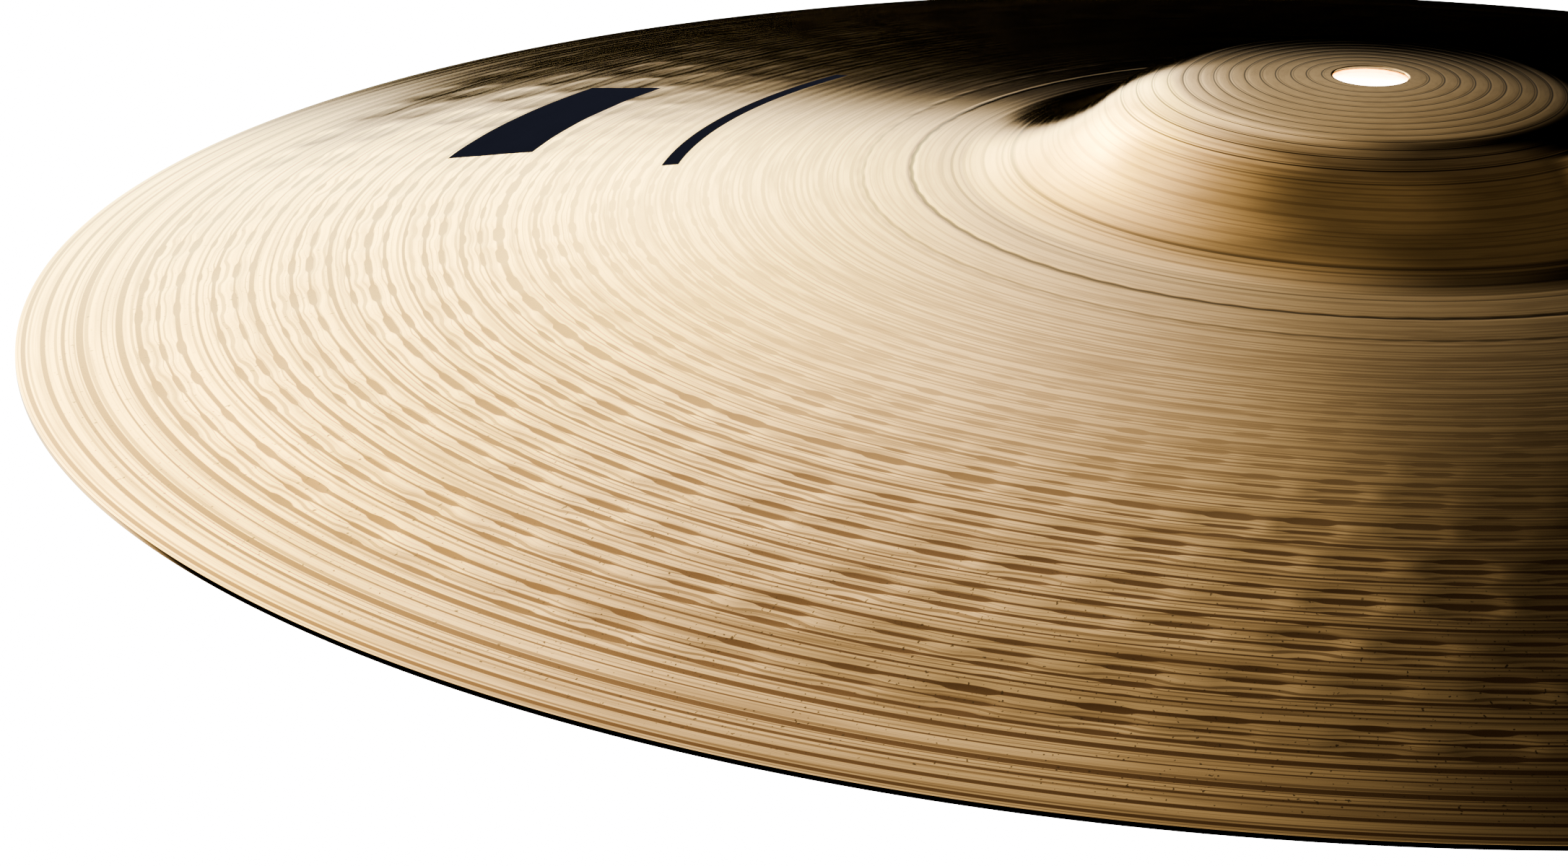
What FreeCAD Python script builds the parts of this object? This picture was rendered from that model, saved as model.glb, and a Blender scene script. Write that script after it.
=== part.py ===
"""Crash cymbal, 18 inch: one bronze disc with a domed bell, a shallow bow and a mounting hole.

The disc is turned about +Z. The origin is on the axis, level with the rim's lower arris before
it is rounded, so the cymbal lies on Z = 0 with its bell up. All lengths are in millimetres.
"""

import FreeCAD, Part
import math
import os
import Sketcher
from FreeCAD import Vector

# The driving dimensions. Radial places are measured from the cymbal's axis.
DIMENSIONS = [
    ("rim_radius", 228.6, "half of the 18 inch diameter"),
    ("rim_thickness", 0.85, "thickness of the bow's edge"),
    ("rim_rounding", 0.3, "rounding of both arrises of the edge"),
    ("crown_height", 46.35, "rim's underside to the crown that the hole is cut through"),
    ("bell_thickness", 1.25, "thickness of the bell and its flare"),
    ("dome_radius", 270.0, "flat top of the bell, centred on the axis"),
    ("shoulder_start", 32.0, "radial place where the top turns into the shoulder"),
    ("shoulder_radius", 27.0, "convex shoulder of the bell"),
    ("flare_start", 46.0, "radial place where the shoulder turns into the flare"),
    ("flare_radius", 44.0, "concave flare at the foot of the bell"),
    ("bow_radius", 1320.0, "shallow convex bow, out to the rim"),
    ("hole_radius", 6.4, "mounting hole for a stand's sleeve"),
    ("hole_rounding", 0.15, "rounding of both arrises of the hole"),
    ("groove_place", 77.2, "radial place of the line turned round the foot of the bell"),
    ("groove_radius", 0.3, "nose of the tool that turns it, centred on the surface"),
]

doc = FreeCAD.newDocument("CrashCymbal")


def make_sheet():
    """Write every driving dimension to a cell with an alias, and a note beside it."""
    sheet = doc.addObject("Spreadsheet::Sheet", "Dimensions")
    for row, (alias, value, note) in enumerate(DIMENSIONS, start=1):
        sheet.set(f"A{row}", str(value))
        sheet.setAlias(f"A{row}", alias)
        sheet.set(f"B{row}", note)
    doc.recompute()
    return sheet


def on_circle(centre, radius, place):
    """Return the point on the upper half of a circle at a radial place."""
    return Vector(place, centre.y + math.sqrt(radius**2 - (place - centre.x) ** 2), 0)


def circles_meet(first, first_radius, second, second_radius):
    """Return the lower of the two places where two circles meet."""
    apart = second - first
    gap = apart.Length
    along = (first_radius**2 - second_radius**2 + gap**2) / (2 * gap)
    aside = math.sqrt(first_radius**2 - along**2)
    across = Vector(apart.y, -apart.x, 0) / gap
    foot = first + apart * (along / gap)
    return min((foot + across * aside, foot - across * aside), key=lambda place: place.y)


def top_outline(sheet):
    """Return the centres of the top's four arcs and the places where each begins and ends."""
    dome_centre = Vector(0, sheet.crown_height - sheet.dome_radius, 0)
    hole_top = on_circle(dome_centre, sheet.dome_radius, sheet.hole_radius)
    dome_end = on_circle(dome_centre, sheet.dome_radius, sheet.shoulder_start)
    shoulder_share = sheet.shoulder_radius / sheet.dome_radius
    shoulder_centre = dome_end + (dome_centre - dome_end) * shoulder_share
    shoulder_end = on_circle(shoulder_centre, sheet.shoulder_radius, sheet.flare_start)
    flare_share = sheet.flare_radius / sheet.shoulder_radius
    flare_centre = shoulder_end + (shoulder_end - shoulder_centre) * flare_share
    rim_top = Vector(sheet.rim_radius, sheet.rim_thickness, 0)
    bow_centre = circles_meet(
        flare_centre, sheet.flare_radius + sheet.bow_radius, rim_top, sheet.bow_radius
    )
    to_bow = bow_centre - flare_centre
    flare_end = flare_centre + to_bow * (sheet.flare_radius / to_bow.Length)
    centres = [dome_centre, shoulder_centre, flare_centre, bow_centre]
    places = [hole_top, dome_end, shoulder_end, flare_end, rim_top]
    return centres, places


def arc_between(centre, start, end):
    """Return the short arc from start to end about centre; Sketcher stores it anticlockwise."""
    from_angle = math.atan2(start.y - centre.y, start.x - centre.x)
    to_angle = math.atan2(end.y - centre.y, end.x - centre.x)
    circle = Part.Circle(centre, Vector(0, 0, 1), (start - centre).Length)
    low, high = sorted((from_angle, to_angle))
    return Part.ArcOfCircle(circle, low, high)


class Outline:
    """Half of the cymbal's section: a closed chain of edges in a sketch on the XZ plane."""

    START, END, CENTRE = 1, 2, 3
    X_AXIS, Y_AXIS, FIRST_EXTERNAL = -1, -2, -3

    def __init__(self, sketch):
        self.sketch = sketch

    def add_arc(self, centre, start, end):
        """Add an arc and return its index and the point numbers of its start and end."""
        index = self.sketch.addGeometry(arc_between(centre, start, end), False)
        anticlockwise = (start - centre).cross(end - centre).z > 0
        ends = (self.START, self.END) if anticlockwise else (self.END, self.START)
        return index, ends[0], ends[1]

    def add_line(self, start, end, construction=False):
        """Add a straight edge and return its index and the point numbers of its ends."""
        index = self.sketch.addGeometry(Part.LineSegment(start, end), construction)
        return index, self.START, self.END

    def constrain(self, *values):
        """Add one constraint."""
        return self.sketch.addConstraint(Sketcher.Constraint(*values))

    def join(self, kind, first, second):
        """Join the end of one edge to the start of the next, as Coincident or Tangent."""
        self.constrain(kind, first[0], first[2], second[0], second[1])

    def drive(self, name, formula, *values):
        """Add a constraint with a size, and bind that size to the sheet."""
        index = self.constrain(*values)
        self.sketch.renameConstraint(index, name)
        self.sketch.setExpression(f"Constraints.{name}", formula)


def add_sketch(body, name, role="XZ_Plane"):
    """Add a sketch to a body, on one of the body's own origin planes."""
    sketch = body.newObject("Sketcher::SketchObject", name)
    plane = next(item for item in body.Origin.OriginFeatures if item.Role == role)
    sketch.AttachmentSupport = [(plane, "")]
    sketch.MapMode = "FlatFace"
    return sketch


def draw_section(sketch, sheet):
    """Draw the disc's section: top, edge and underside, closed along the hole's wall."""
    outline = Outline(sketch)
    centres, top = top_outline(sheet)
    dome_centre, shoulder_centre, flare_centre, bow_centre = centres
    hole_top, dome_end, shoulder_end, flare_end, rim_top = top

    def inside(place, centre, radius, change):
        return centre + (place - centre) * ((radius + change) / radius)

    thin = -sheet.bell_thickness
    dome_under_radius = sheet.dome_radius - sheet.bell_thickness
    hole_under = on_circle(dome_centre, dome_under_radius, sheet.hole_radius)
    dome_end_under = inside(dome_end, dome_centre, sheet.dome_radius, thin)
    shoulder_end_under = inside(shoulder_end, shoulder_centre, sheet.shoulder_radius, thin)
    flare_end_under = inside(flare_end, flare_centre, sheet.flare_radius, -thin)
    rim_under = Vector(sheet.rim_radius, 0, 0)

    # The underside's bow leaves the flare square to the line of centres, and ends at the rim.
    away = (bow_centre - flare_centre).normalize()
    chord = rim_under - flare_end_under
    bow_under_radius = chord.Length**2 / (2 * chord.dot(away))
    bow_under_centre = flare_end_under + away * bow_under_radius

    dome = outline.add_arc(dome_centre, hole_top, dome_end)
    shoulder = outline.add_arc(shoulder_centre, dome_end, shoulder_end)
    flare = outline.add_arc(flare_centre, shoulder_end, flare_end)
    bow = outline.add_arc(bow_centre, flare_end, rim_top)
    rim = outline.add_line(rim_top, rim_under)
    bow_under = outline.add_arc(bow_under_centre, rim_under, flare_end_under)
    flare_under = outline.add_arc(flare_centre, flare_end_under, shoulder_end_under)
    shoulder_under = outline.add_arc(shoulder_centre, shoulder_end_under, dome_end_under)
    dome_under = outline.add_arc(dome_centre, dome_end_under, hole_under)
    wall = outline.add_line(hole_under, hole_top)

    for first, second in ((dome, shoulder), (shoulder, flare), (flare, bow)):
        outline.join("Tangent", first, second)
    for first, second in ((bow, rim), (rim, bow_under), (dome_under, wall), (wall, dome)):
        outline.join("Coincident", first, second)
    for first, second in (
        (bow_under, flare_under),
        (flare_under, shoulder_under),
        (shoulder_under, dome_under),
    ):
        outline.join("Tangent", first, second)

    # The underside of the bell runs at one thickness, so its arcs share the top's centres.
    centre = outline.CENTRE
    for upper, lower in ((dome, dome_under), (shoulder, shoulder_under), (flare, flare_under)):
        outline.constrain("Coincident", upper[0], centre, lower[0], centre)
    spoke = outline.add_line(flare_centre, bow_centre, construction=True)
    outline.constrain("Coincident", spoke[0], outline.START, flare[0], centre)
    outline.constrain("Coincident", spoke[0], outline.END, bow[0], centre)
    outline.constrain("PointOnObject", bow_under[0], centre, spoke[0])
    outline.constrain("PointOnObject", dome[0], centre, outline.Y_AXIS)
    outline.constrain("PointOnObject", rim[0], outline.END, outline.X_AXIS)
    outline.constrain("Vertical", rim[0])
    outline.constrain("Vertical", wall[0])

    origin = (outline.X_AXIS, outline.START)
    outline.drive(
        "depth", "Dimensions.dome_radius - Dimensions.crown_height",
        "DistanceY", dome[0], centre, *origin, sheet.dome_radius - sheet.crown_height,
    )
    outline.drive(
        "hole_place", "Dimensions.hole_radius",
        "DistanceX", *origin, wall[0], outline.END, sheet.hole_radius,
    )
    outline.drive(
        "rim_place", "Dimensions.rim_radius",
        "DistanceX", *origin, rim[0], outline.END, sheet.rim_radius,
    )
    outline.drive(
        "edge", "Dimensions.rim_thickness",
        "DistanceY", rim[0], outline.END, rim[0], outline.START, sheet.rim_thickness,
    )
    outline.drive(
        "underside", "Dimensions.dome_radius - Dimensions.bell_thickness",
        "Radius", dome_under[0], dome_under_radius,
    )
    outline.drive(
        "shoulder_place", "Dimensions.shoulder_start",
        "DistanceX", *origin, dome[0], dome[2], sheet.shoulder_start,
    )
    outline.drive(
        "flare_place", "Dimensions.flare_start",
        "DistanceX", *origin, shoulder[0], shoulder[2], sheet.flare_start,
    )
    for edge, name in ((dome, "dome"), (shoulder, "shoulder"), (flare, "flare"), (bow, "bow")):
        alias = f"{name}_radius"
        outline.drive(alias, f"Dimensions.{alias}", "Radius", edge[0], sheet.get(alias))


def turn(body, kind, name, sketch):
    """Turn a sketch of the XZ plane once round the axis, as a Revolution or a Groove."""
    feature = body.newObject(f"PartDesign::{kind}", name)
    feature.Profile = sketch
    feature.ReferenceAxis = (sketch, ["V_Axis"])
    feature.Angle = 360.0
    doc.recompute()
    return feature


def round_edges(shape, radius):
    """Return the names and the curves of a shape's circular edges of one radius."""
    slack = 1e-4
    found = []
    for number, edge in enumerate(shape.Edges, start=1):
        curve = edge.Curve
        if isinstance(curve, Part.Circle) and abs(curve.Radius - radius) < slack:
            found.append((f"Edge{number}", curve))
    return found


def turn_groove(body, section, sheet):
    """Turn the line round the bell's foot: a half-round groove centred on the top surface."""
    bow_name, bow = round_edges(section.Shape, sheet.bow_radius)[0]
    reach = sheet.groove_place - bow.Center.x
    height = bow.Center.z + math.sqrt(sheet.bow_radius**2 - reach**2)
    nose = Part.Circle(
        Vector(sheet.groove_place, height, 0), Vector(0, 0, 1), sheet.groove_radius
    )
    outline = Outline(add_sketch(body, "GrooveOutline"))
    outline.sketch.addExternal(section.Name, bow_name)
    index = outline.sketch.addGeometry(nose, False)
    outline.constrain("PointOnObject", index, outline.CENTRE, outline.FIRST_EXTERNAL)
    outline.drive(
        "place", "Dimensions.groove_place",
        "DistanceX", outline.X_AXIS, outline.START, index, outline.CENTRE, sheet.groove_place,
    )
    outline.drive("nose", "Dimensions.groove_radius", "Radius", index, sheet.groove_radius)
    return turn(body, "Groove", "FootGroove", outline.sketch)


def round_arrises(body, base, name, radius, formula):
    """Round both circular arrises of the base that have one radius."""
    fillet = body.newObject("PartDesign::Fillet", name)
    fillet.Base = (base, [edge_name for edge_name, curve in round_edges(base.Shape, radius)])
    fillet.setExpression("Radius", formula)
    doc.recompute()
    return fillet


def make_cymbal(sheet):
    """Turn the disc, round its arrises and turn its groove."""
    body = doc.addObject("PartDesign::Body", "Cymbal")
    body.Label = "cymbal"
    section = add_sketch(body, "Section")
    draw_section(section, sheet)
    doc.recompute()
    disc = turn(body, "Revolution", "Disc", section)
    edge = round_arrises(
        body, disc, "RimRounding", sheet.rim_radius, "Dimensions.rim_rounding"
    )
    round_arrises(body, edge, "HoleRounding", sheet.hole_radius, "Dimensions.hole_rounding")
    body.Tip = turn_groove(body, section, sheet)
    return body


def export(bodies):
    """Check every object and every sub-part, then write each sub-part to its own file."""
    doc.recompute()
    for item in doc.Objects:
        if {"Invalid", "Error"} & set(item.State):
            raise RuntimeError(f"{item.Name} failed: {item.State}")
    for body in bodies:
        if body.Shape.isNull() or not body.Shape.isValid() or len(body.Shape.Solids) != 1:
            raise RuntimeError(f"{body.Label} isn't one valid solid")
    os.makedirs("parts", exist_ok=True)
    for body in bodies:
        body.Shape.exportStep(os.path.join("parts", f"{body.Label}.step"))
        box = body.Shape.BoundBox
        print(f"{body.Label}: {body.Shape.Volume / 1000:.1f} cm3, box {box}")


dimensions = make_sheet()
export([make_cymbal(dimensions)])
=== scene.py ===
"""Looks of the crash cymbal: a finely turned and hammered bronze disc in soft studio light.

Lengths in this script are millimetres, and MM turns them into Blender's metres. The disc is made
as rings of points round +Z. Its turned ridges and hammer marks are written once, as functions of
the radius and the angle, and give both the mesh its height and the material its colour.
"""

import math

import bpy
import numpy as np
from mathutils import Matrix, Vector


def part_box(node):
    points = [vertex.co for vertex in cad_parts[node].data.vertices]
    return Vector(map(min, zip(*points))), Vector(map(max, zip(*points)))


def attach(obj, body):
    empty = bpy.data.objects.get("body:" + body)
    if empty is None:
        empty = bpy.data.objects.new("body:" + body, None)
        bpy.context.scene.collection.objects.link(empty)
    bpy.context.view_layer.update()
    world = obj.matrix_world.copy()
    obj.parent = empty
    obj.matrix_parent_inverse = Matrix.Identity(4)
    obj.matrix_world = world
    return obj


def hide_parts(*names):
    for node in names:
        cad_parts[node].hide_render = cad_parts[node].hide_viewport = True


MM = 0.001
FULL_TURN = 2 * math.pi

# The smooth disc. These are the CAD model's sizes, but for a slightly sharper edge.
CROWN_HEIGHT = 46.35
RIM_THICKNESS = 0.85
EDGE_ROUNDING = 0.15
BELL_THICKNESS = 1.25
DOME_RADIUS = 270.0
SHOULDER_START = 32.0
SHOULDER_RADIUS = 27.0
FLARE_START = 46.0
FLARE_RADIUS = 44.0
BOW_RADIUS = 1320.0
HOLE_RADIUS = 6.4
HOLE_ROUNDING = 0.15

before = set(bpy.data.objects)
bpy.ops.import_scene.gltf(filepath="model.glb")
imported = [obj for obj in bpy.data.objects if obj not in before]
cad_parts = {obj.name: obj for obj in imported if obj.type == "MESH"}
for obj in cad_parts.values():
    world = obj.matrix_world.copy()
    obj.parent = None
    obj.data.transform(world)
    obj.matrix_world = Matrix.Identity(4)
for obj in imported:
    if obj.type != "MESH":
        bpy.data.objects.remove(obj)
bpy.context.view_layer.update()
RIM_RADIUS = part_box("cymbal")[1].x / MM


# ---------------------------------------------------------------- numbers, in numpy or in a shader


class Number:
    """A value in a shader, on which Python's own operators build Math nodes."""

    def __init__(self, tree, socket):
        self.tree = tree
        self.socket = socket

    def apply(self, operation, *others):
        node = self.tree.nodes.new("ShaderNodeMath")
        node.operation = operation
        for place, value in enumerate((self, *others)):
            plug(self.tree, value, node.inputs[place])
        return Number(self.tree, node.outputs[0])

    def __add__(self, other):
        return self.apply("ADD", other)

    def __mul__(self, other):
        return self.apply("MULTIPLY", other)

    def __sub__(self, other):
        return self.apply("SUBTRACT", other)

    def __rsub__(self, other):
        return (self * -1.0) + other

    def __rtruediv__(self, other):
        return self.apply("POWER", -1.0) * other

    def __truediv__(self, other):
        return self.apply("DIVIDE", other)

    __radd__ = __add__
    __rmul__ = __mul__


def plug(tree, value, socket):
    """Link a Number to a socket, or set the socket to a plain value."""
    if isinstance(value, Number):
        tree.links.new(value.socket, socket)
    else:
        socket.default_value = value


def sine(value):
    return value.apply("SINE") if isinstance(value, Number) else np.sin(value)


def floor(value):
    return value.apply("FLOOR") if isinstance(value, Number) else np.floor(value)


def absolute(value):
    return value.apply("ABSOLUTE") if isinstance(value, Number) else np.abs(value)


def nearest(value):
    """The nearest whole number."""
    return floor(value + 0.5)


def smaller(first, second):
    return first.apply("MINIMUM", second) if isinstance(first, Number) else np.minimum(first, second)


def larger(first, second):
    return first.apply("MAXIMUM", second) if isinstance(first, Number) else np.maximum(first, second)


def ramp(value, low, high):
    """Rise smoothly from 0 to 1 as value goes from low to high."""
    if isinstance(value, Number):
        node = value.tree.nodes.new("ShaderNodeMapRange")
        node.interpolation_type = "SMOOTHSTEP"
        plug(value.tree, value, node.inputs["Value"])
        plug(value.tree, low, node.inputs["From Min"])
        plug(value.tree, high, node.inputs["From Max"])
        return Number(value.tree, node.outputs["Result"])
    share = np.clip((value - low) / (high - low), 0, 1)
    return share * share * (3 - 2 * share)


def window(value, start, full, end, gone):
    """Rise from 0 to 1 between start and full, and fall back between end and gone."""
    return ramp(value, start, full) * (1.0 - ramp(value, end, gone))


def wave(phase):
    """One hump per unit of phase, from 0 up to 1 at each whole number."""
    return 0.5 + 0.5 * sine(phase * FULL_TURN + math.pi / 2)


# ---------------------------------------------------------------- the smooth section of the disc


def on_circle(centre, radius, place):
    """Height of the upper half of a circle at one place."""
    return centre[1] + math.sqrt(radius**2 - (place - centre[0]) ** 2)


def circles_meet(first, first_radius, second, second_radius):
    """Return the lower of the two places where two circles meet."""
    apart = second - first
    gap = np.linalg.norm(apart)
    along = (first_radius**2 - second_radius**2 + gap**2) / (2 * gap)
    aside = math.sqrt(first_radius**2 - along**2)
    across = np.array([apart[1], -apart[0]]) / gap
    foot = first + apart * (along / gap)
    return min(foot + across * aside, foot - across * aside, key=lambda place: place[1])


class Section:
    """The disc's top and underside as four tangent arcs each: dome, shoulder, flare and bow.

    An arc is the radius where it ends, its centre, its own radius, and 1 for the upper half of
    its circle or -1 for the lower.
    """

    def __init__(self):
        dome = np.array([0.0, CROWN_HEIGHT - DOME_RADIUS])
        dome_end = np.array([SHOULDER_START, on_circle(dome, DOME_RADIUS, SHOULDER_START)])
        shoulder = dome_end + (dome - dome_end) * (SHOULDER_RADIUS / DOME_RADIUS)
        top = on_circle(shoulder, SHOULDER_RADIUS, FLARE_START)
        shoulder_end = np.array([FLARE_START, top])
        flare = shoulder_end + (shoulder_end - shoulder) * (FLARE_RADIUS / SHOULDER_RADIUS)
        rim_top = np.array([RIM_RADIUS, RIM_THICKNESS])
        bow = circles_meet(flare, FLARE_RADIUS + BOW_RADIUS, rim_top, BOW_RADIUS)
        away = (bow - flare) / np.linalg.norm(bow - flare)
        flare_end = flare + away * FLARE_RADIUS
        self.top = [
            (dome_end[0], dome, DOME_RADIUS, 1),
            (shoulder_end[0], shoulder, SHOULDER_RADIUS, 1),
            (flare_end[0], flare, FLARE_RADIUS, -1),
            (RIM_RADIUS, bow, BOW_RADIUS, 1),
        ]

        wall = BELL_THICKNESS

        def end_under(end, centre, radius):
            return (centre + (end - centre) * ((radius - wall) / radius))[0]

        flare_end_under = flare + away * (FLARE_RADIUS + wall)
        chord = np.array([RIM_RADIUS, 0.0]) - flare_end_under
        bow_under_radius = chord.dot(chord) / (2 * chord.dot(away))
        bow_under = flare_end_under + away * bow_under_radius
        dome_end_under = end_under(dome_end, dome, DOME_RADIUS)
        shoulder_end_under = end_under(shoulder_end, shoulder, SHOULDER_RADIUS)
        self.underside = [
            (dome_end_under, dome, DOME_RADIUS - wall, 1),
            (shoulder_end_under, shoulder, SHOULDER_RADIUS - wall, 1),
            (flare_end_under[0], flare, FLARE_RADIUS + wall, -1),
            (RIM_RADIUS, bow_under, bow_under_radius, 1),
        ]

    @staticmethod
    def height(arcs, radius):
        """Height of a chain of arcs at each radius."""
        result = np.zeros_like(radius)
        start = -np.inf
        for end, centre, arc_radius, side in arcs:
            here = (radius > start) & (radius <= end)
            reach = radius[here] - centre[0]
            result[here] = centre[1] + side * np.sqrt(arc_radius**2 - reach**2)
            start = end
        return result


# ---------------------------------------------------------------- ridges and hammer marks

# Hammer marks stand in rows round the bow. There are DENT_COLUMNS to a row and DENT_ROWS rows to a
# millimetre, fewer by DENT_ROWS_FALL for each millimetre outwards. DENT_SCATTER shares no factor
# with DENT_COLUMNS, so every mark of a row is shifted differently.
DENT_COLUMNS = 68
DENT_ROWS = 0.145
DENT_ROWS_FALL = 0.00016
DENT_SCATTER = 29
DENT_RADIUS = 4.9
DENT_HALF_LENGTH = 7.0
DENT_DEPTH = 0.095

# The grain bends outwards by DENT_BEND in the middle of each mark. Radii between which the marks
# grow, their dull bottoms grow, and both end; and how far the border outside them sinks.
DENT_BEND = 0.8
DENTS_GROW = (110.0, 175.0)
MISSED_GROW = (80.0, 130.0)
HAMMERED_END = (205.0, 213.0)
EDGE_SINK = 0.42

# Turned lines: the bow's, and the closer ones on the bell.
RIDGE_PITCH = 3.2
RIDGE_DEPTH = 0.013
BELL_PITCH = 2.6
BELL_RIDGE_DEPTH = 0.004
FLANK_RIDGE_DEPTH = 0.018
BELL_CUT_DEPTH = 0.015
FOOT_CUT_DEPTH = 0.08

# The few single lines round the foot of the bell: radius, half width and strength.
FOOT_LINES = [
    (60.2, 0.45, 0.7),
    (61.8, 0.35, 0.4),
    (65.0, 0.35, 0.3),
    (68.4, 0.3, 0.3),
    (70.4, 0.35, 0.45),
    (72.0, 0.3, 0.3),
    (77.2, 0.5, 1.0),
    (85.5, 0.4, 0.6),
]


def drift(radius, angle):
    """Slow wandering of a tool held by hand, from -1 to 1."""
    return (
        0.4 * sine(angle * 3.0 + radius * 0.05)
        + 0.35 * sine(angle * 11.0 - radius * 0.11 + 1.7)
        + 0.25 * sine(angle * 23.0 + radius * 0.23 + 4.0)
    )


def dent_cell(radius, angle):
    """Return how far away the nearest hammer mark is, squared, and that mark's strength.

    There are two distances, along the turning and across it, and each is 1 at the mark's edge.
    """
    row = radius * (DENT_ROWS - radius * DENT_ROWS_FALL)
    row_number = nearest(row)
    row_pitch = 1.0 / (DENT_ROWS - radius * (2 * DENT_ROWS_FALL))
    stagger = 0.3 * row_number + 0.12 * sine(row_number * 2.4)
    column = angle * (DENT_COLUMNS / FULL_TURN) + stagger
    column_number = nearest(column)
    column_pitch = radius * (FULL_TURN / DENT_COLUMNS)
    turn = column_number * (FULL_TURN * DENT_SCATTER / DENT_COLUMNS)
    aside = (column - column_number) * column_pitch + 1.1 * sine(turn + row_number * 1.9)
    along = (row - row_number) * row_pitch + 0.8 * sine(turn * 2.0 + row_number * 3.1)
    half_length = smaller(column_pitch * 0.45, DENT_HALF_LENGTH)
    share = aside / half_length
    rise = along * (1.0 / DENT_RADIUS)
    strength = 0.8 + 0.2 * sine(turn * 3.0 + row_number * 1.3)
    return share * share, rise * rise, strength


def hammered(radius, grow):
    """1 on the hammered part of the bow; grow is the two radii between which that begins."""
    return window(radius, *grow, *HAMMERED_END)


def dents(radius, angle):
    """Depth of the hammer marks on the bow, from 0 to 1."""
    along, across, strength = dent_cell(radius, angle)
    return (1.0 - ramp(along + across, 0.0, 1.15)) * strength * hammered(radius, DENTS_GROW)


def missed(radius, angle):
    """Where the lathe tool passed over the bottom of a hammer mark, from 0 to 1."""
    along, across, strength = dent_cell(radius, angle)
    bottom = 1.0 - ramp(along * 1.8 + across * 0.6, 0.25, 0.9)
    return bottom * strength * hammered(radius, MISSED_GROW)


def ridge_place(radius, angle):
    """Count the turned lines of the bow, from the axis outwards; each whole number is a line.

    The lines are a little unevenly spaced, and on the middle of the bow they wander.
    """
    uneven = 0.05 * sine(radius * 0.83) + 0.04 * sine(radius * 1.37 + 2.0)
    held = window(radius, 80.0, 150.0, 203.0, 212.0)
    return radius / RIDGE_PITCH + uneven + 0.11 * drift(radius, angle) * held


def uncut_lines(radius, angle, missed_share):
    """Dull metal along each turned line, wide in every dent, where the tool cut less.

    Here and in thin_lines, widths are shares of the distance between two lines.
    """
    place = ridge_place(radius, angle)
    number = nearest(place)
    away = absolute(place - number)
    wide_near_rim = ramp(radius, 200.0, 212.0) * (0.04 + 0.06 * sine(number * 2.4 + 1.0))
    half_width = 0.1 + 0.04 * sine(number * 2.9) + 0.13 * missed_share + wide_near_rim
    return 1.0 - ramp(away, half_width - 0.035, half_width + 0.035)


def thin_lines(radius, angle, dent_depth):
    """The finer lines of the same tool: three to a turned line, bent in the dents."""
    place = ridge_place(radius, angle) * 3.0 + 0.7 * dent_depth
    number = nearest(place)
    away = absolute(place - number)
    half_width = 0.13 + 0.12 * sine(number * 2.7)
    return 1.0 - ramp(away, half_width - 0.06, half_width + 0.06)


def bell_place(radius, angle):
    """Count the turned lines of the bell, which run a little off centre."""
    off_centre = 0.5 * sine(angle - 1.3)
    return (radius - off_centre) / BELL_PITCH


def bell_cuts(radius, angle):
    """The narrow cuts on top of the bell: 1 along each cut, with a fainter twin beside it."""
    place = bell_place(radius, angle)
    away = absolute(place - nearest(place))
    beside = place + 0.16
    twin = absolute(beside - nearest(beside))
    zone = window(radius, 7.4, 8.2, 41.0, 48.0)
    return larger(1.0 - ramp(away, 0.02, 0.075), 0.5 - 0.5 * ramp(twin, 0.02, 0.06)) * zone


def foot_cuts(radius, angle):
    """The single lines round the foot of the bell: 1 along the deepest of them.

    The outer ones waver in step with the hammer marks.
    """
    wandering = radius + 0.08 * sine(angle * DENT_COLUMNS) * ramp(radius, 71.0, 76.0)
    result = 0.0
    for place, half_width, strength in FOOT_LINES:
        away = wandering - place
        result = strength * (1.0 - ramp(away * away, 0.0, half_width * half_width)) + result
    return result


def sunk(radius):
    """How far the bow sinks towards its outer border, which lies a little flatter."""
    return EDGE_SINK * window(radius, 186.0, 208.0, 208.0, 228.0)


def relief(radius, angle):
    """Height of the worked surface above the smooth section; the marks only go down."""
    bow = ramp(radius, 78.0, 110.0)
    bell = 1.0 - ramp(radius, 34.0, 42.0)
    flank = window(radius, 36.0, 42.0, 56.0, 66.0)
    return -(
        DENT_DEPTH * dents(radius, angle)
        + RIDGE_DEPTH * bow * wave(ridge_place(radius, angle))
        + BELL_RIDGE_DEPTH * bell * wave(bell_place(radius, angle))
        + FLANK_RIDGE_DEPTH * flank * wave(bell_place(radius, angle) * 1.5)
        + BELL_CUT_DEPTH * bell_cuts(radius, angle)
        + FOOT_CUT_DEPTH * foot_cuts(radius, angle)
        + sunk(radius)
    )


# ---------------------------------------------------------------- the mesh

# Points in each ring, of which the top of the bow has twice as many, and the distance between
# rings from zone to zone. The bow's zone starts at BOW_START.
COLUMNS = 420
BELL_SPACING = 0.3
FOOT_SPACING = 0.55
BOW_SPACING = 0.64
UNDERSIDE_SPACING = 1.6
BOW_START = 80.0

# The rounded edge is squarer than a circle: its sine and cosine are raised to EDGE_SQUARENESS.
# One ring of the top runs EDGE_MARGIN inside the last.
EDGE_SQUARENESS = 0.25
EDGE_MARGIN = 0.1
EDGE_RINGS = 9
HOLE_RINGS = 3


def steps(start, end, spacing):
    """Even steps from start up to end, without end."""
    count = max(1, round(abs(end - start) / spacing))
    return np.linspace(start, end, count, endpoint=False)


def edge_points():
    """Radius and height of the rounded edge, from the top's last ring to the underside's."""
    outer = RIM_RADIUS - EDGE_ROUNDING
    section = Section()
    top = Section.height(section.top, np.array([outer]))[0]
    under = Section.height(section.underside, np.array([outer]))[0]
    middle, half = (top + under) / 2, (top - under) / 2
    turn = np.linspace(math.pi / 2, -math.pi / 2, EDGE_RINGS + 2)[1:-1]
    radius = outer + EDGE_ROUNDING * np.cos(turn) ** EDGE_SQUARENESS
    height = middle + half * np.sign(np.sin(turn)) * np.abs(np.sin(turn)) ** EDGE_SQUARENESS
    return radius, height


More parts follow.
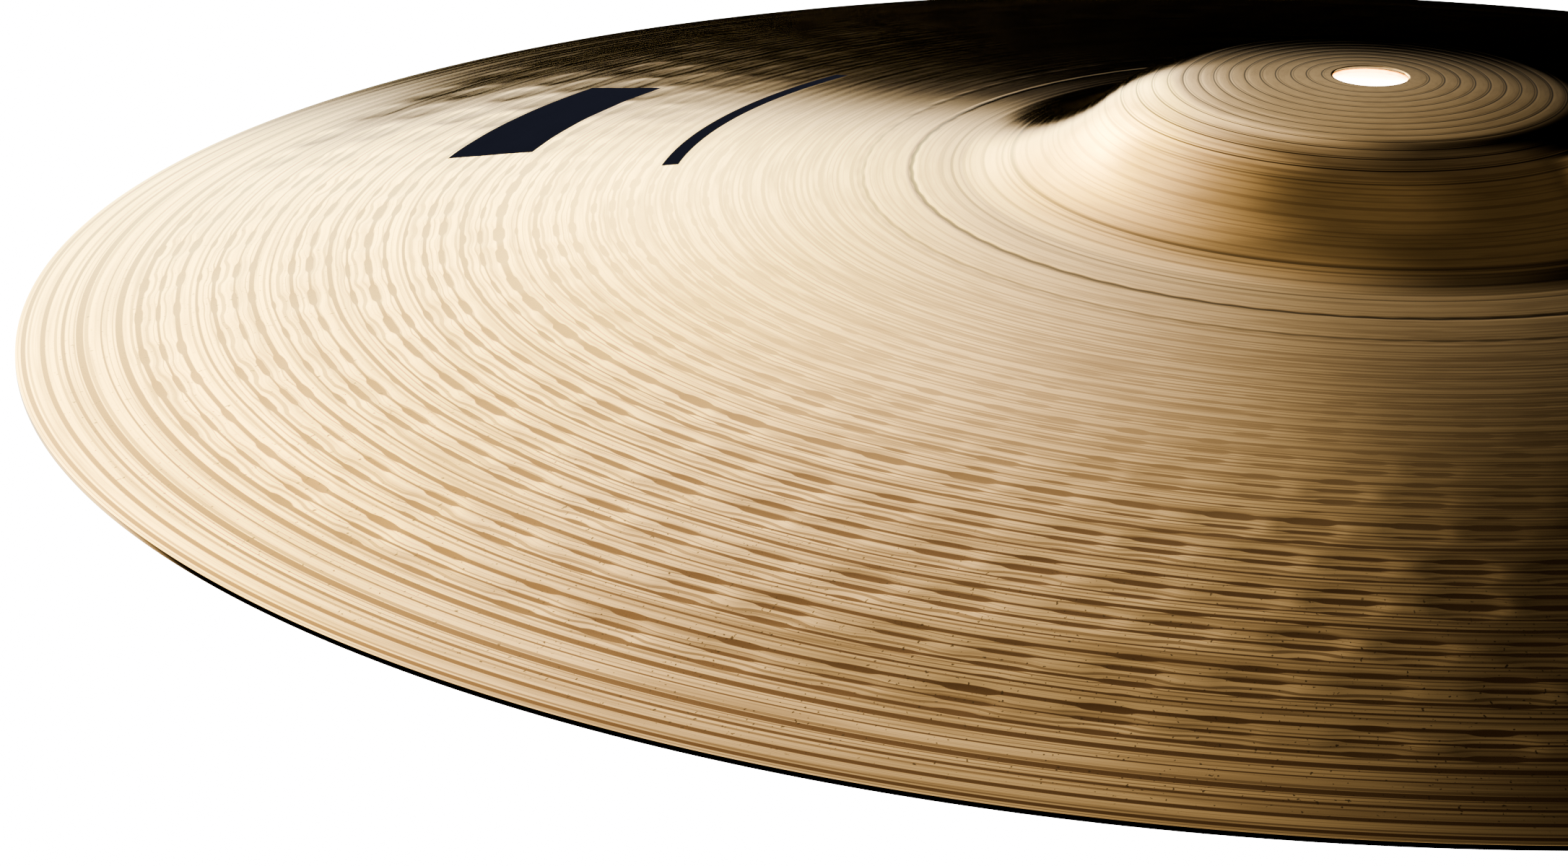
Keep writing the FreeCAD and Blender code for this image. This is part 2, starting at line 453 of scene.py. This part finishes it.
class Rings:
    """Rings of points round the axis, joined one after another into a surface."""

    def __init__(self):
        self.points = []
        self.faces = []
        self.first = []
        self.columns = []

    def add(self, radius, columns, height):
        """Add one ring; height is a function of radius and angle, or a plain number."""
        angle = np.arange(columns) * (FULL_TURN / columns) - math.pi
        around = np.full(columns, radius)
        level = height(around, angle) if callable(height) else np.full(columns, height)
        self.first.append(sum(self.columns))
        self.columns.append(columns)
        place = [around * np.cos(angle), around * np.sin(angle), level]
        self.points.append(np.stack(place, axis=1) * MM)
        if len(self.first) > 1:
            self.join(len(self.first) - 2, len(self.first) - 1)

    def join(self, inner, outer):
        """Join two rings with quads, or with threes of triangles where the columns double."""
        few, many = sorted((inner, outer), key=lambda ring: self.columns[ring])
        count = self.columns[few]
        step = np.arange(count)
        near, near_next = self.first[few] + step, self.first[few] + (step + 1) % count
        if self.columns[many] == count:
            start = self.first[outer]
            inside = self.first[inner]
            after = (step + 1) % count
            quads = np.stack([inside + step, start + step, start + after, inside + after], 1)
            self.faces.extend(quads.tolist())
            return
        far = self.first[many] + 2 * step
        middle = far + 1
        far_next = self.first[many] + (2 * step + 2) % self.columns[many]
        fans = [(near, far, middle), (near, middle, near_next), (near_next, middle, far_next)]
        for corners in fans:
            ordered = corners if few == inner else corners[::-1]
            self.faces.extend(np.stack(ordered, 1).tolist())

    def close(self):
        """Join the last ring to the first."""
        self.join(len(self.first) - 1, 0)


def build_cymbal():
    """Make the disc's mesh: bell and bow, edge, underside and the hole's wall, ring by ring."""
    section = Section()
    outer = RIM_RADIUS - EDGE_ROUNDING
    inner = HOLE_RADIUS + HOLE_ROUNDING

    def top(radius, angle):
        return Section.height(section.top, radius) + relief(radius, angle)

    def underside(radius, angle):
        dented = DENT_DEPTH * dents(radius, angle)
        return Section.height(section.underside, radius) - dented - sunk(radius)

    rings = Rings()
    bell = steps(inner, FLARE_START, BELL_SPACING)
    foot = steps(FLARE_START, BOW_START, FOOT_SPACING)
    for radius in np.concatenate([bell, foot]):
        rings.add(radius, COLUMNS, top)
    for radius in np.append(steps(BOW_START, outer, BOW_SPACING), [outer - EDGE_MARGIN, outer]):
        rings.add(radius, 2 * COLUMNS, top)
    for radius, height in zip(*edge_points()):
        rings.add(radius, 2 * COLUMNS, height)
    rings.add(outer, 2 * COLUMNS, underside)
    for radius in np.append(steps(outer, inner, UNDERSIDE_SPACING)[1:], inner):
        rings.add(radius, COLUMNS, underside)
    wall_top = Section.height(section.top, np.array([inner]))[0] - HOLE_ROUNDING
    wall_under = Section.height(section.underside, np.array([inner]))[0] + HOLE_ROUNDING
    for height in np.linspace(wall_under, wall_top, HOLE_RINGS):
        rings.add(HOLE_RADIUS, COLUMNS, height)
    rings.close()

    mesh = bpy.data.meshes.new("cymbal_disc")
    mesh.from_pydata(np.concatenate(rings.points), [], rings.faces)
    mesh.shade_smooth()
    disc = bpy.data.objects.new("cymbal_disc", mesh)
    bpy.context.scene.collection.objects.link(disc)
    return disc


# ---------------------------------------------------------------- material

# Colours of the metal, from bright to dark, of its reflections at a grazing angle, and of the print.
POLISHED = (0.91, 0.60, 0.275)
BELL = (0.74, 0.50, 0.25)
FLANK = (0.80, 0.50, 0.21)
UNCUT = (0.24, 0.128, 0.055)
GROOVE_DARK = (0.12, 0.07, 0.03)
GRAZING_TINT = (1.0, 0.95, 0.82)
INK = (0.03, 0.032, 0.055)

# Roughness of the polished metal, and what dull metal and patches of the grain add to it.
POLISHED_ROUGHNESS = 0.06
DULL_ROUGHNESS = 0.1
PATCH_ROUGHNESS = 0.03

# Height in millimetres of the grain's streaks, the only relief that isn't in the mesh.
STREAK_HEIGHT = 0.003

# A Mix node has sockets of one name for each kind of value; these are the places of its colours.
MIX_FIRST = 6
MIX_SECOND = 7
MIX_RESULT = 2

# The print is two plain bars: inner and outer radius, first and last angle in degrees. Their
# borders are soft, over PRINT_SIDE millimetres along the sides and PRINT_END radians at the ends.
PRINT = [
    (150.0, 166.0, 150.0, 169.0),
    (119.0, 122.0, 143.0, 176.0),
]
PRINT_SIDE = 0.1
PRINT_END = 0.001


def add(tree, kind, **settings):
    """Add a node and set its properties."""
    node = tree.nodes.new(kind)
    for name, value in settings.items():
        setattr(node, name, value)
    return node


def surface_place(tree):
    """Return each point's radius in millimetres, and its angle."""
    place = add(tree, "ShaderNodeTexCoord")
    split = add(tree, "ShaderNodeSeparateXYZ")
    tree.links.new(place.outputs["Object"], split.inputs[0])
    x = Number(tree, split.outputs["X"])
    y = Number(tree, split.outputs["Y"])
    radius = (x * x + y * y).apply("SQRT") * (1 / MM)
    return radius, y.apply("ARCTAN2", x)


def grain(tree, radius, angle, across, around, detail):
    """Noise drawn out along the turning: features across mm apart, around features per turn."""
    vector = add(tree, "ShaderNodeCombineXYZ")
    plug(tree, sine(angle) * (around / FULL_TURN), vector.inputs["X"])
    plug(tree, sine(angle + math.pi / 2) * (around / FULL_TURN), vector.inputs["Y"])
    plug(tree, radius * (1.0 / across), vector.inputs["Z"])
    noise = add(tree, "ShaderNodeTexNoise")
    noise.inputs["Scale"].default_value = 1.0
    noise.inputs["Detail"].default_value = detail
    tree.links.new(vector.outputs[0], noise.inputs["Vector"])
    return Number(tree, noise.outputs[0])


def colour_mix(tree, share, first, second):
    """Mix two colours, or sockets that carry colours."""
    node = add(tree, "ShaderNodeMix", data_type="RGBA")
    plug(tree, share, node.inputs["Factor"])
    for value, socket in ((first, node.inputs[MIX_FIRST]), (second, node.inputs[MIX_SECOND])):
        if isinstance(value, tuple):
            socket.default_value = (*value, 1.0)
        else:
            tree.links.new(value, socket)
    return node.outputs[MIX_RESULT]


def printed(radius, angle):
    """1 on the printed bars."""
    result = 0.0
    side, end = PRINT_SIDE, PRINT_END
    for inner, outer, first, last in PRINT:
        first, last = math.radians(first), math.radians(last)
        band = window(radius, inner - side, inner + side, outer - side, outer + side)
        result = band * window(angle, first, first + end, last - end, last) + result
    return result


def dullness(radius, angle, depth, streaks, fine):
    """How dull the metal is, from 0 to 1: in the uncut lines, the thin lines and the grain."""
    contrast = (0.5 + 0.5 * ramp(radius, 110.0, 165.0)) * ramp(radius, 78.0, 90.0)
    low = uncut_lines(radius, angle, missed(radius, angle)) * contrast
    thin = thin_lines(radius, angle, depth) * (0.55 + 0.45 * contrast) * ramp(radius, 32.0, 42.0)
    soft = 0.4 * ramp(streaks, 0.42, 0.68) + 0.25 * ramp(fine, 0.48, 0.68)
    soft = soft * (0.35 + 0.65 * ramp(radius, 60.0, 100.0))
    return larger(larger(low, thin * 0.7), soft)


def darkness(radius, angle, specks):
    """How dark the metal is, from 0 to 1: in the cuts, and in the pits of the outer bow."""
    pits = ramp(specks, 0.7, 0.74) * window(radius, 150.0, 180.0, 222.0, 227.0) * 0.8
    cuts = larger(bell_cuts(radius, angle), foot_cuts(radius, angle))
    return smaller(larger(cuts, pits), 1.0)


def bronze():
    """Turned bronze: polished metal, with duller and redder metal in the lines and dents."""
    material = bpy.data.materials.new("turned_bronze")
    material.use_nodes = True
    tree = material.node_tree
    shader = tree.nodes["Principled BSDF"]
    radius, angle = surface_place(tree)

    depth = dents(radius, angle)
    bent = radius + DENT_BEND * depth
    streaks = grain(tree, bent, angle, across=1.3, around=30.0, detail=2.0)
    fine = grain(tree, bent, angle, across=0.45, around=40.0, detail=2.0)
    patches = grain(tree, radius, angle, across=9.0, around=60.0, detail=2.0)
    specks = grain(tree, radius, angle, across=0.8, around=2000.0, detail=1.0)

    dull = dullness(radius, angle, depth, streaks, fine)
    inked = printed(radius, angle)
    flank = window(radius, 36.0, 46.0, 58.0, 70.0)
    colour = colour_mix(tree, flank, BELL, FLANK)
    colour = colour_mix(tree, ramp(radius, 85.0, 150.0), colour, POLISHED)
    colour = colour_mix(tree, dull, colour, UNCUT)
    colour = colour_mix(tree, darkness(radius, angle, specks), colour, GROOVE_DARK)
    colour = colour_mix(tree, inked, colour, INK)
    tree.links.new(colour, shader.inputs["Base Color"])
    roughness = POLISHED_ROUGHNESS + DULL_ROUGHNESS * dull + PATCH_ROUGHNESS * patches
    plug(tree, roughness, shader.inputs["Roughness"])
    plug(tree, 1.0 - inked, shader.inputs["Metallic"])
    shader.inputs["Specular IOR Level"].default_value = 0.0
    shader.inputs["Specular Tint"].default_value = (*GRAZING_TINT, 1.0)

    bump = add(tree, "ShaderNodeBump")
    bump.inputs["Strength"].default_value = 1.0
    bump.inputs["Distance"].default_value = MM
    plug(tree, streaks * STREAK_HEIGHT, bump.inputs["Height"])
    tree.links.new(bump.outputs[0], shader.inputs["Normal"])
    return material


# ---------------------------------------------------------------- stage

# The camera's place in millimetres, its turns in radians and its lens.
CAMERA_DISTANCE = 1049.16
CAMERA_ELEVATION = 0.307932
CAMERA_PAN = -0.0928802
CAMERA_TILT = 0.0210566
CAMERA_ROLL = 0.0521863
CAMERA_LENS = 139.65
CAMERA_RISE = 0.2

# The floor: how far it reaches in metres, the radius of its part under the disc in millimetres,
# the corners of its outline, and the light that it gives off, which makes it white.
FLOOR_REACH = 60.0
FLOOR_UNDER_DISC = 215.0
FLOOR_CORNERS = 96
FLOOR_GLOW = 4.6


def add_camera():
    """Place the camera a metre away and a little above, turned to the left and slightly rolled."""
    elevation = CAMERA_ELEVATION
    pan, tilt, roll = CAMERA_PAN, CAMERA_TILT, CAMERA_ROLL
    level = Matrix((
        (1, 0, 0),
        (0, -math.sin(elevation), -math.cos(elevation)),
        (0, math.cos(elevation), -math.sin(elevation)),
    ))
    panned = Matrix((
        (math.cos(pan), 0, -math.sin(pan)),
        (0, 1, 0),
        (math.sin(pan), 0, math.cos(pan)),
    ))
    tilted = Matrix((
        (1, 0, 0),
        (0, math.cos(tilt), -math.sin(tilt)),
        (0, math.sin(tilt), math.cos(tilt)),
    ))
    rolled = Matrix((
        (math.cos(roll), -math.sin(roll), 0),
        (math.sin(roll), math.cos(roll), 0),
        (0, 0, 1),
    ))
    right, down, ahead = rolled @ tilted @ panned @ level
    camera = bpy.data.objects.new("camera", bpy.data.cameras.new("camera"))
    bpy.context.scene.collection.objects.link(camera)
    camera.data.sensor_width = 36.0
    camera.data.lens = CAMERA_LENS
    camera.data.clip_start = 0.01
    camera.data.clip_end = 200.0
    turn = Matrix((right, -down, -ahead)).transposed()
    place = Vector((
        0, -math.cos(elevation) * CAMERA_DISTANCE,
        math.sin(elevation) * CAMERA_DISTANCE + CAMERA_RISE,
    )) * MM
    camera.matrix_world = Matrix.Translation(place) @ turn.to_4x4()
    bpy.context.scene.camera = camera


def add_floor():
    """Add the plain pale floor; the metal mirrors only the part of it under the disc."""
    material = bpy.data.materials.new("pale_floor")
    material.use_nodes = True
    shader = material.node_tree.nodes["Principled BSDF"]
    shader.inputs["Base Color"].default_value = (0.9, 0.9, 0.9, 1.0)
    shader.inputs["Roughness"].default_value = 0.9
    shader.inputs["Emission Color"].default_value = (1.0, 1.0, 1.0, 1.0)
    shader.inputs["Emission Strength"].default_value = FLOOR_GLOW
    turn = np.arange(FLOOR_CORNERS) * (FULL_TURN / FLOOR_CORNERS)
    around = np.stack([np.cos(turn), np.sin(turn), np.zeros(FLOOR_CORNERS)], 1)
    under, beyond = around * (FLOOR_UNDER_DISC * MM), around * FLOOR_REACH
    step = np.arange(FLOOR_CORNERS)
    after = (step + 1) % FLOOR_CORNERS
    ring = np.stack([step, step + FLOOR_CORNERS, after + FLOOR_CORNERS, after], 1).tolist()
    parts = (
        ("floor", np.concatenate([under, beyond]), ring, False),
        ("floor_under_disc", under, [step.tolist()], True),
    )
    for name, points, faces, mirrored in parts:
        mesh = bpy.data.meshes.new(name)
        mesh.from_pydata(points, [], faces)
        mesh.materials.append(material)
        plane = bpy.data.objects.new(name, mesh)
        bpy.context.scene.collection.objects.link(plane)
        plane.visible_glossy = mirrored


# The studio's light is a function of direction: an azimuth, counted from +X towards +Y, and an
# elevation, both in degrees. These are the brightnesses of its parts and the light's colours.
PANEL_AZIMUTH = 130.0
PANEL_BRIGHTNESS = 3.0
GLOW_BRIGHTNESS = 0.5
FILL_BRIGHTNESS = 0.9
CEILING_BRIGHTNESS = 0.085
TABLE_BRIGHTNESS = 1.6
BACKDROP_BRIGHTNESS = 5.0
NEUTRAL_LIGHT = (1.0, 1.0, 1.0)
WARM_LIGHT = (1.0, 1.0, 0.69)


def world_direction(tree):
    """Return the azimuth and the elevation, in degrees, at which a ray leaves the scene.

    The azimuth jumps by a full turn opposite the panel.
    """
    place = add(tree, "ShaderNodeTexCoord")
    split = add(tree, "ShaderNodeSeparateXYZ")
    tree.links.new(place.outputs["Generated"], split.inputs[0])
    x, y, z = (Number(tree, split.outputs[name]) for name in "XYZ")
    turn = math.radians(PANEL_AZIMUTH)
    ahead = x * math.cos(turn) + y * math.sin(turn)
    aside = y * math.cos(turn) - x * math.sin(turn)
    to_degrees = 180 / math.pi
    azimuth = aside.apply("ARCTAN2", ahead) * to_degrees + PANEL_AZIMUTH
    return azimuth, z.apply("ARCSINE") * to_degrees


def panel_light(azimuth, elevation):
    """Brightness of the soft panel at the back left.

    Its right edge leans: low down it lies further left, and high up further right. It grows
    brighter to the left, reaches less far left low down, fades upwards and is gone overhead.
    """
    leaning = azimuth - 0.55 * larger(12.0 - elevation, 0.0)
    right_edge = 93.0 - 0.5 * larger(elevation - 24.0, 0.0)
    across = ramp(leaning, right_edge, 102.5) * (1.0 - ramp(azimuth, 200.0, 270.0))
    low_left_end = ramp(azimuth, 122.0, 150.0) * (1.0 - ramp(elevation, 28.0, 48.0))
    growth = 1.0 + 0.09 * smaller(larger(azimuth - 110.0, 0.0), 14.0)
    above = larger(elevation - 16.0 - 7.0 * ramp(azimuth, 100.0, 114.0), 0.0)
    fall = (above * above / (above + 9.0) * -0.084).apply("EXPONENT")
    low_boost = 1.25 - 0.25 * ramp(elevation, 12.0, 24.0)
    standing = window(elevation, -8.0, 5.0, 64.0, 84.0)
    return across * (1.0 - low_left_end) * growth * fall * low_boost * standing


def weak_lights(azimuth, elevation):
    """Brightness of the glow, the ceiling, the fill and the table together."""
    glow = window(azimuth, 78.0, 95.0, 150.0, 180.0) * window(elevation, 4.0, 17.0, 24.0, 48.0)
    ceiling = ramp(elevation, 34.0, 50.0) + 0.8 * ramp(elevation, 64.0, 84.0)
    around = 1.0 - window(azimuth, 45.0, 62.0, 125.0, 160.0)
    fill = around * window(elevation, 0.0, 10.0, 26.0, 46.0)
    table = window(azimuth, 98.0, 108.0, 140.0, 160.0) * (1.0 - ramp(elevation, -16.0, -11.0))
    return (
        glow * GLOW_BRIGHTNESS
        + ceiling * CEILING_BRIGHTNESS
        + fill * FILL_BRIGHTNESS
        + table * TABLE_BRIGHTNESS
    )


def add_world():
    """Light the studio, which is plain white to the camera.

    The metal sees a soft panel at the back left, a weak glow round its right edge, a faint
    ceiling, a soft fill from the front and the sides, and a pale table low down behind it.
    """
    world = bpy.data.worlds.new("studio")
    world.use_nodes = True
    tree = world.node_tree
    background = tree.nodes["Background"]
    azimuth, elevation = world_direction(tree)
    light = panel_light(azimuth, elevation) * PANEL_BRIGHTNESS + weak_lights(azimuth, elevation)
    seen = Number(tree, add(tree, "ShaderNodeLightPath").outputs["Is Camera Ray"])
    plug(tree, light + seen * BACKDROP_BRIGHTNESS, background.inputs["Strength"])
    warmth = ramp(light, 0.8, 3.0) * (1.0 - seen)
    tint = colour_mix(tree, warmth, NEUTRAL_LIGHT, WARM_LIGHT)
    tree.links.new(tint, background.inputs["Color"])
    bpy.context.scene.world = world


def main():
    scene = bpy.context.scene
    scene.view_settings.view_transform = "AgX"
    scene.view_settings.look = "AgX - High Contrast"
    disc = build_cymbal()
    disc.data.materials.append(bronze())
    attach(disc, "root")
    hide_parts("cymbal")
    add_camera()
    add_floor()
    add_world()


main()
